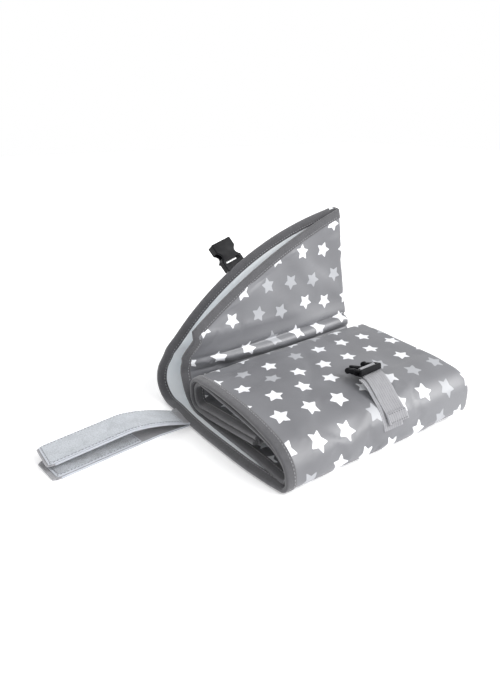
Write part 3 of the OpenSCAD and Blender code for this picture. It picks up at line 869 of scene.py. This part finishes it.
def build_tip_binding():
    """The tape over the flap's tip: up one leaf's arch, round the fold and down the other's."""
    half = FOLD_T / 2
    top = flap_station(TIP_V)
    inner_v = CORNER_V + (TIP_V - CORNER_V) * INNER_SHARE

    def arch_v(arch, u):
        return arch[1] + math.sqrt(arch[2] ** 2 - (u - arch[0]) ** 2)

    def out_of(angle, wedge):
        """The way out of the printed face, by the angle round the fold from the outer leaf."""
        a = np.array(on_flap(math.sin(angle) * -1, math.cos(angle), 0, wedge))
        return a - np.array(on_flap(0, 0, 0, wedge))

    outer_u, inner_u = arch_u(OUTER_ARCH, TIP_V), arch_u(INNER_ARCH, inner_v)
    points, out = [], []
    for u in np.linspace(outer_u, half, 5)[:-1]:
        share = u / outer_u
        points.append(on_flap(u, half, arch_v(OUTER_ARCH, u), WEDGE * share))
        out.append(out_of(0, WEDGE * share))
    high, low = arch_v(OUTER_ARCH, half), arch_v(INNER_ARCH, half)
    for angle in np.linspace(0, math.pi, 9):
        v = high + (low - high) * angle / math.pi
        points.append(on_flap(half - half * math.sin(angle), half * math.cos(angle), v))
        out.append(out_of(angle, 0))
    for u in np.linspace(half, inner_u, 4)[1:]:
        points.append(on_flap(u, -half, arch_v(INNER_ARCH, u)))
        out.append(out_of(math.pi, 0))
    points[0], points[-1] = top[5:8], top[8:11]
    points, out = np.array(points), unit(out)
    tangent = unit(np.gradient(points, axis=0))
    inward = unit(np.cross(tangent, out))
    inward *= np.where(inward[:, 2:] > 0, -1, 1)
    obj = tape_piece("binding_tip", points, inward, out, list(range(len(points))))
    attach(obj, "flap")
    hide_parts("flap_binding")


# ---- hook and loop strap ----

STRAP_X, STRAP_Y = -137.3, 86.0     # where the strap leaves the pad
STRAP_W, STRAP_L, STRAP_T = 36.0, 143.0, 1.5
STRAP_STRAIGHT, STRAP_DRIFT = 35.0, 14.0  # the lower tail's straight part, and its drift after it
UPPER_Z, UPPER_SHIFT = 3.6, -2.0    # how high the upper tail starts, and how far it lies forward
ROOT_GATHER, ROOT_RUN = 7.0, 60.0   # how much the upper tail is gathered, and over what length


def lower_line(stops, z):
    """Points along the lower tail, which lies flat and drifts forward past its straight part."""
    drift = np.interp(stops, [0, STRAP_STRAIGHT, STRAP_L], [0, 0, -STRAP_DRIFT])
    return np.column_stack([STRAP_X - stops, STRAP_Y + drift, np.full(len(stops), z)])


def upper_line(stops, z):
    """Points along the upper tail, which bows up from its root and falls a little."""
    bow, crest, fall = 12.5, 62, 0.11
    rise = bow * np.sin(np.radians(np.minimum(stops / crest, 1) * 90))
    rise = rise - np.maximum(0, stops - crest) * fall
    return np.column_stack([STRAP_X - stops, np.full(len(stops), STRAP_Y + UPPER_SHIFT),
                            z + UPPER_Z + rise])


def tape_ends(stops, width, cut=2.5):
    """Widths along a tape with its far corners cut off."""
    return np.interp(stops, [stops[0], stops[-1] - cut, stops[-1]], [width, width, width - 2 * cut])


def strap_tail(body, tail_node, tape_node, line, tape_range, pile):
    """One tail of the strap: webbing with hook or loop tape sewn on it."""
    upper = body == "upper_strap"

    def follow(stops, z):
        """The tail's middle, its side and up directions, and how much narrower it is near its
        root, where it is gathered into the seam."""
        centre = line(stops, z)
        way = unit(np.gradient(centre, axis=0))
        side = unit(np.cross(way, (0, 0, 1)))
        root = ROOT_GATHER if upper else 0.0
        less = root * np.clip(1 - stops / ROOT_RUN, 0, 1) ** 1.5
        return centre, side, unit(np.cross(side, way)), less

    stops = np.linspace(-1.5, STRAP_L - (1 if upper else 0), 40)
    centre, side, up, less = follow(stops, STRAP_T / 2)
    webbing = Shape()
    webbing.ribbon(centre, side, up, tape_ends(stops, STRAP_W) - less, STRAP_T, 0, -less / 2)
    for edge in (-1, 1):
        border = centre + side * (edge * (STRAP_W - less) / 2 - less / 2)[:, None]
        webbing.ribbon(border[:-2], side[:-2], up[:-2], 1.3, STRAP_T + 0.5, 1)
    obj = webbing.make(tail_node + "_webbing", ("webbing", "selvedge"))
    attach(obj, body)
    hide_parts(tail_node)

    first, last, border, wide = tape_range
    stops = np.linspace(first, last, 36)
    centre, side, up, less = follow(stops, STRAP_T)
    tape = Shape()
    tape.ribbon(centre + up * 0.4, side, up, tape_ends(stops, wide, 2.0) - less, 0.8, 0, -less / 2)
    inner = np.linspace(first + border, last - border, 34)
    pile_centre, pile_side, pile_up, pile_less = follow(inner, STRAP_T)
    tape.ribbon(pile_centre + pile_up * 0.9, pile_side, pile_up,
                tape_ends(inner, wide - 2 * border, 1.5) - pile_less, 0.7, 1, -pile_less / 2)
    off = wide / 2 - border + 0.55
    for s in (-1, 1):
        seam = s * off - less * (s > 0)
        tape.stitches(centre + side * seam[:, None] + up * 0.95, up, 2)
    for place in (0, -1):
        step = border * 0.75 * (1 if place == 0 else -1)
        middle = line(np.array([stops[place] + step]), STRAP_T)[0] + up[place] * 0.95
        run = np.linspace(-off, off - less[place], 12)[:, None] * side[place] + middle
        tape.stitches(run, up[place], 2)
    obj = tape.make(tape_node + "_pile", ("selvedge", pile, "thread_strap"))
    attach(obj, body)
    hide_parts(tape_node)


def build_strap():
    """Both tails of the strap, and the root that is sewn in under the binding."""
    strap_tail("lower_strap", "lower_tail", "hook_tape", lower_line, (54, 139, 2.6, 33.5), "hook")
    strap_tail("upper_strap", "upper_tail", "loop_tape", upper_line, (6, 140, 2.4, 35), "loop")
    root = Shape()
    across = np.array([(0, 1, 0)])
    for z, shift in ((0.9, 0), (UPPER_Z, UPPER_SHIFT)):
        stops = np.linspace(-12, 0.3, 6)
        line = np.column_stack([STRAP_X - stops, np.full(6, STRAP_Y + shift),
                                z + np.array([1.0, 0.8, 0.4, 0.1, 0, 0]) * (1 if z < 2 else 0.2)])
        root.ribbon(line, across, (0, 0, 1), STRAP_W - 0.4, 1.4)
    obj = root.make("strap_root", ("webbing",))
    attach(obj, "base")
    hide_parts("strap_anchor")


# ---- webbing and male half ----

def turned(x, y, z):
    """A turn by these degrees about X, then Y, then Z."""
    return (Matrix.Rotation(math.radians(z), 4, "Z") @ Matrix.Rotation(math.radians(y), 4, "Y")
            @ Matrix.Rotation(math.radians(x), 4, "X"))


ROUND_Y, ROUND_Z, ROUND_R = -36.2, 9.2, 40.8    # the arc of the shoulder
WEB_W, WEB_T, WEB_CLEAR = 25.2, 1.35, 0.45      # width, thickness, and clearance underneath
WEB_STEPS = 44
SEAM_A, LIFT_A = 19.0, 54.0        # where the webbing is sewn down and where it lifts off
UNDER_LIFT, HEM_LIFT = 1.7, 2.0    # how far each layer stands up at its seam
HEM = (23.5, 38.0)                 # where the hem starts and ends round the shoulder, in degrees
MALE_X, MALE_Y, MALE_Z = 17.2, -34.078, 61.8
MALE_AT = Matrix.Translation((MALE_X, MALE_Y, MALE_Z)) @ turned(-11, 3, 8)
FRAME_Y, FRAME_L, MALE_W = 0.8, 9.5, 34.0       # the frame's start, length and width
SLOT_HALF, PRONG_X = 12.9, 13.0    # half a slot's length, and a prong's distance from the middle
UNDER_BAR = -6.98                  # the webbing's underside below the bar, in the buckle's own Z


def web_path(height, first_a, last_a):
    """Points of the webbing's side view: up round the shoulder, off it and under the bar."""
    lift = math.radians(LIFT_A)
    arc = np.radians(np.linspace(first_a, last_a, 16))
    r = ROUND_R + height
    pts = [(ROUND_Y - r * math.cos(a), ROUND_Z + r * math.sin(a)) for a in arc]
    way = np.array([math.sin(lift), math.cos(lift)])
    high = np.array([ROUND_Y - r * math.cos(lift), ROUND_Z + r * math.sin(lift)])
    leave = high + way * 9
    under = np.array(MALE_AT @ Vector((0, 0.6, UNDER_BAR + height)))[1:]
    back = -np.array(MALE_AT.to_3x3() @ Vector((0, 1, 0)))[1:]
    # the corner between the two straights, rounded off
    reach, _ = np.linalg.solve(np.column_stack([way, -back]), under - leave)
    corner = leave + way * reach
    for t in np.linspace(0, 1, 14):
        pts.append((1 - t) ** 2 * leave + 2 * t * (1 - t) * corner + t ** 2 * under)
    return np.array(pts)


def smooth_path(points, count):
    """The same path resampled at equal steps."""
    steps = distances(points)
    at = np.linspace(0, steps[-1], count)
    return np.column_stack([np.interp(at, steps, points[:, k]) for k in range(points.shape[1])])


def side_up(points):
    """The way up from a side view's path, at each point."""
    way = unit(np.gradient(points, axis=0))
    return np.column_stack([-way[:, 1], way[:, 0]])


def web_layer(shape, points, x, width):
    """A layer of webbing with pale borders, whose side view runs through these points, centred
    at each x."""
    x = np.broadcast_to(x, len(points))
    line = np.column_stack([x, points])
    up = np.column_stack([np.zeros(len(points)), side_up(points)])
    shape.ribbon(line, (1, 0, 0), up, width - 1.6, WEB_T)
    for edge in (-1, 1):
        shape.ribbon(line + np.array([edge * (width / 2 - 0.6), 0, 0]), (1, 0, 0), up, 1.2,
                     WEB_T + 0.25, 2)
    return line, up


def build_webbing():
    """The male half's webbing: two layers, a hem and the turn round the bar."""
    shape = Shape()
    share = np.linspace(0, 1, WEB_STEPS)
    under = smooth_path(web_path(WEB_CLEAR + WEB_T / 2, SEAM_A - 2.5, LIFT_A), WEB_STEPS)
    under = under + side_up(under) * (UNDER_LIFT * (1 - share) ** 2)[:, None]
    web_layer(shape, under, 5.0 + 6.6 * share ** 1.2, WEB_W)

    raised = web_path(WEB_CLEAR + 1.65 * WEB_T, HEM[0] - 0.5, HEM[1] + 1)
    raised = smooth_path(raised, WEB_STEPS)
    up = side_up(raised)
    raised = raised + up * (HEM_LIFT * (1 - share) ** 2)[:, None]
    centres = 10.8 + 6.1 * share - 1.8 * np.sin(math.pi * share)
    web_layer(shape, raised, centres, WEB_W)
    angles = np.degrees(np.arctan2(raised[:, 1] - ROUND_Z, ROUND_Y - raised[:, 0]))
    count = int(np.sum(angles < HEM[1]))
    hem = raised[:count] + up[:count] * (WEB_T + 0.05)
    line, ups = web_layer(shape, hem, centres[:count], WEB_W + 0.2)
    reach = WEB_W / 2 - 0.8
    for row, inset in ((0, 1.4), (-1, -1.2)):
        middle = line[row] + ups[row] * (WEB_T / 2 + 0.15) + unit(line[1] - line[0]) * inset
        run = middle + np.linspace(-reach, reach, 10)[:, None] * np.array([1, 0, 0])
        shape.stitches(run, ups[row], 1)
    obj = shape.make("buckle_webbing", ("webbing", "thread_dark", "web_edge"))
    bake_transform(obj)
    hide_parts("male_strap")

    turn = Shape()
    low = UNDER_BAR + WEB_CLEAR
    path = [(0.4, low + 2.25), (2.6, low + 2.25), (3.9, -3.4), (4.6, -1.5), (4.7, 0.5), (5.0, 2.3),
            (5.7, 3.2), (6.5, 3.4), (7.3, 3.2), (8.0, 2.3), (8.3, 0.5), (8.3, -2.0), (7.6, -4.4),
            (5.6, low + 0.8), (3.0, low + 0.7), (0.4, low + 0.7)]
    points = smooth_path(np.array(path, float), 60)
    up = np.column_stack([np.zeros(len(points)), side_up(points)])
    line = np.column_stack([np.zeros(len(points)), points])
    turn.ribbon(line, (1, 0, 0), up, WEB_W - 1.0, WEB_T - 0.15)
    turn.verts = [np.array(MALE_AT @ Vector(v)) for v in turn.verts]
    obj = turn.make("buckle_webbing_turn", ("webbing",))
    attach(obj, "male_buckle")
    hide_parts("male_web_turn")


CORNER_STEPS = 5


def rounded(x0, y0, x1, y1, r):
    """A rectangle with rounded corners, as points."""
    pts = []
    for cx, cy, start in ((x1 - r, y1 - r, 0), (x0 + r, y1 - r, 90), (x0 + r, y0 + r, 180),
                          (x1 - r, y0 + r, 270)):
        for k in range(CORNER_STEPS + 1):
            a = math.radians(start + 90 * k / CORNER_STEPS)
            pts.append((cx + r * math.cos(a), cy + r * math.sin(a)))
    return pts


def axes_matrix(x, y, z):
    """A matrix whose own X, Y and Z point these ways."""
    return Matrix((x, y, z)).transposed().to_4x4()


def build_male():
    """The male half: frame, rails, guide and the two prongs."""
    shape = Shape()
    y0, y1 = FRAME_Y, FRAME_Y + FRAME_L
    half = MALE_W / 2
    side_on = axes_matrix((0, 1, 0), (0, 0, 1), (1, 0, 0))
    slots = [rounded(-SLOT_HALF, low, SLOT_HALF, low + 1.7, 0.7) for low in (4.0, 7.3)]
    shape.moulding(rounded(-half, y0, half, y1, 2.2), 4.6, 0.8, MALE_AT, slots)
    shape.moulding(rounded(y0 - 0.2, -3.2, y0 + 3.4, 3.5, 1.6), MALE_W, 1.2, MALE_AT @ side_on)
    for side in (-1, 1):
        rail = [(y0 + 1.2, -3.3), (y1 - 1.6, -3.1), (y1, -2.2), (y1 + 0.6, 0), (y1, 2.3),
                (y1 - 1.6, 3.2), (y0 + 1.2, 3.4)]
        at = side_on.copy()
        at.translation = (side * (half - 1.6), 0, 0)
        shape.moulding(rail, 3.2, 0.9, MALE_AT @ at)
    # the guide between the prongs, with its spine
    guide = [(-3.0, y1 - 1), (-2.8, y1 + 4), (-2.1, y1 + 15.5), (-1.3, y1 + 17.2), (1.3, y1 + 17.2),
             (2.1, y1 + 15.5), (2.8, y1 + 4), (3.0, y1 - 1)]
    shape.moulding(guide, 2.8, 0.7, MALE_AT)
    spine = [(y1 - 0.5, -2.3), (y1 + 4, -2.1), (y1 + 14, -1.3), (y1 + 14, 1.3), (y1 + 4, 2.1),
             (y1 - 0.5, 2.3)]
    shape.moulding(spine, 1.8, 0.5, MALE_AT @ side_on)
    obj = shape.make("buckle_male_frame", ("plastic",))
    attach(obj, "male_buckle")
    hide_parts("male_frame")
    for side, word in ((-1, "left"), (1, "right")):
        prong = Shape()
        root = y1 + 0.3
        outline = [(root, -2.9), (root + 2.6, -2.9), (root + 4.6, -2.6), (root + 6.2, -2.4)]
        head = [(root + 9.1 + 3.1 * math.cos(a), 3.1 * math.sin(a))
                for a in np.radians(np.linspace(-140, 140, 15))]
        outline = outline + head + [(y, -z) for y, z in outline[::-1]]
        at = side_on.copy()
        at.translation = (side * PRONG_X, 0, 0)
        prong.moulding(outline, 5.4, 1.5, MALE_AT @ at)
        obj = prong.make(f"buckle_prong_{word}", ("plastic",))
        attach(obj, f"prong_{word}")
        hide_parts(f"male_prong_{word}")


# ---- female half ----

ON_OUTER_LEAF = (Matrix.Translation((FLAP_X, CREASE_Y, CREASE_Z)) @ Matrix.Rotation(-LEAN, 4, "X")
                 @ Matrix.Rotation(-WEDGE, 4, "Z"))
FEMALE_U, FEMALE_N, FEMALE_V = 138.3, FOLD_T / 2 + 5.1, 85.8    # its place on the outer leaf
FEMALE_W = 27.0
FEMALE_AT = (ON_OUTER_LEAF @ Matrix.Translation((-FEMALE_U, FEMALE_N, FEMALE_V))
             @ turned(-28.9, -15.1, 12.8))


def waisted(half, low, high, waist, z0, z1):
    """The right side of the hourglass outline, from its foot to its mouth."""
    pts = [(half, low), (half, z0 - 1.0)]
    for k in range(13):
        t = k / 12
        pts.append((half - waist * math.sin(math.pi * t) ** 0.8, z0 + (z1 - z0) * t))
    pts += [(half, z1 + 1.0), (half, high - 0.8), (half - 0.8, high)]
    return pts


def build_female():
    """The female half, and the tab that ties it to the flap."""
    half, mouth = FEMALE_W / 2, 31.6
    waist, waist_top, inside = 3.9, 20.4, 3.6
    along_y = axes_matrix((1, 0, 0), (0, 0, 1), (0, -1, 0))

    def plate(shape, outline, y0, y1, bevel, holes=()):
        at = FEMALE_AT @ Matrix.Translation((0, (y0 + y1) / 2, 0)) @ along_y
        shape.moulding(outline, y1 - y0, bevel, at, holes)

    def both_sides(right):
        return right + [(-x, z) for x, z in right[::-1]]

    shape = Shape()
    slot = rounded(-9.4, 5.4, 9.4, 7.8, 1.1)
    foot = [(8.4, -2.0), (9.6, -2.8), (11.0, -3.4)]
    front = foot + waisted(half, -3.4, mouth, waist, 9.0, waist_top)
    plate(shape, both_sides(front), -5.4, -2.9, 1.0, [slot])
    back = waisted(half, 9.6, mouth, waist, 10.4, waist_top)
    back = [(12.6, 8.4), (half, 9.2)] + back[2:]
    plate(shape, both_sides(back), 2.9, 5.5, 1.0)
    # the floor of the socket, the cheeks beside the slot and the socket's side walls
    floor = both_sides([(11.8, 8.4), (12.6, 9.2), (11.2, 12.0), (9.8, 13.4)])
    plate(shape, floor, -inside, inside, 0.3)
    cheek = ((10.4, -2.6), (13.2, -2.6), (13.2, 9.4), (10.4, 9.4))
    wall = ((13.3, 20.8), (13.3, 31.0), (11.4, 31.2), (11.4, 21.4))
    for side in (-1, 1):
        for outline, bevel in ((cheek, 0.5), (wall, 0.3)):
            plate(shape, [(side * x, z) for x, z in outline], -inside, inside, bevel)
    obj = shape.make("buckle_female", ("plastic",))
    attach(obj, "female_buckle")
    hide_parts("female_buckle")

    tab = Shape()
    line = [ON_OUTER_LEAF @ Vector((-FEMALE_U, FOLD_T / 2 + 1.5, FEMALE_V - z)) for z in (15, 11)]
    line += [FEMALE_AT @ Vector(p) for p in ((0, 0, -3.6), (0, -0.2, -0.2))]
    side = FEMALE_AT.to_3x3() @ Vector((1, 0, 0))
    up = FEMALE_AT.to_3x3() @ Vector((0, 1, 0))
    tab.ribbon([tuple(p) for p in line], tuple(side), tuple(up), 18.5, 1.3)
    obj = tab.make("female_webbing", ("webbing",))
    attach(obj, "flap")
    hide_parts("female_tab")


# ---- camera, light and floor ----

LIGHT_AIM = (0, 0.05, 0.05)


def build_stage():
    """The floor, the sky and two lights."""
    floor_mesh = bpy.data.meshes.new("floor")
    size = 4.0
    floor_mesh.from_pydata([(-size, -size, 0), (size, -size, 0), (size, size, 0), (-size, size, 0)],
                           [], [(0, 1, 2, 3)])
    paper = new_material("paper", (0.96, 0.96, 0.965), 0.9, Emission_Strength=0.2,
                         Emission_Color=(1, 1, 1, 1))[0]
    floor_mesh.materials.append(paper)
    floor = linked("floor", floor_mesh)
    floor.location.z = -0.0004

    world = bpy.data.worlds.new("studio")
    world.use_nodes = True
    sky = world.node_tree.nodes["Background"]
    sky.inputs[0].default_value = (1.0, 1.0, 1.0, 1)
    # white low down, dimmer overhead
    m = Maths(world.node_tree)
    way = m.node("ShaderNodeSeparateXYZ")
    m.put(way.inputs[0], m.node("ShaderNodeTexCoord").outputs["Generated"])
    m.put(sky.inputs[1], m.ramp(way.outputs[2], 0.2, 0.6, 1.0, 0.75))
    bpy.context.scene.world = world
    bpy.context.scene.view_settings.view_transform = "Standard"

    def light(name, kind, place, **settings):
        """A light at this place, turned towards the pad."""
        data = bpy.data.lights.new(name, kind)
        for key, value in settings.items():
            setattr(data, key, value)
        obj = linked(name, data)
        obj.location = place
        way = Vector(LIGHT_AIM) - Vector(place)
        obj.rotation_euler = way.to_track_quat("-Z", "Y").to_euler()

    light("key", "SUN", (1.06, -1.13, 1.27), energy=2.5, angle=math.radians(40))
    light("back", "AREA", (-0.2, 1.3, 1.0), energy=4, size=0.8)


CAMERA_AZIMUTH, CAMERA_ELEVATION, CAMERA_DISTANCE = -35.0, 23.6, 0.64
CAMERA_AIM = (-0.025, 0.117, 0.040)
CAMERA_LENS = 28.03


def build_camera():
    """The camera, aimed at the pad from the front left."""
    az, el = math.radians(CAMERA_AZIMUTH), math.radians(CAMERA_ELEVATION)
    back = Vector((math.sin(az) * math.cos(el), -math.cos(az) * math.cos(el), math.sin(el)))
    data = bpy.data.cameras.new("camera")
    data.lens = CAMERA_LENS
    data.sensor_width = 36.0
    data.clip_start = 0.01
    camera = linked("camera", data)
    camera.location = Vector(CAMERA_AIM) + back * CAMERA_DISTANCE
    camera.rotation_euler = (-back).to_track_quat("-Z", "Y").to_euler()
    bpy.context.scene.camera = camera


build_camera()
build_stage()
build_mat()
build_binding()
build_strap()
build_webbing()
build_male()
build_female()
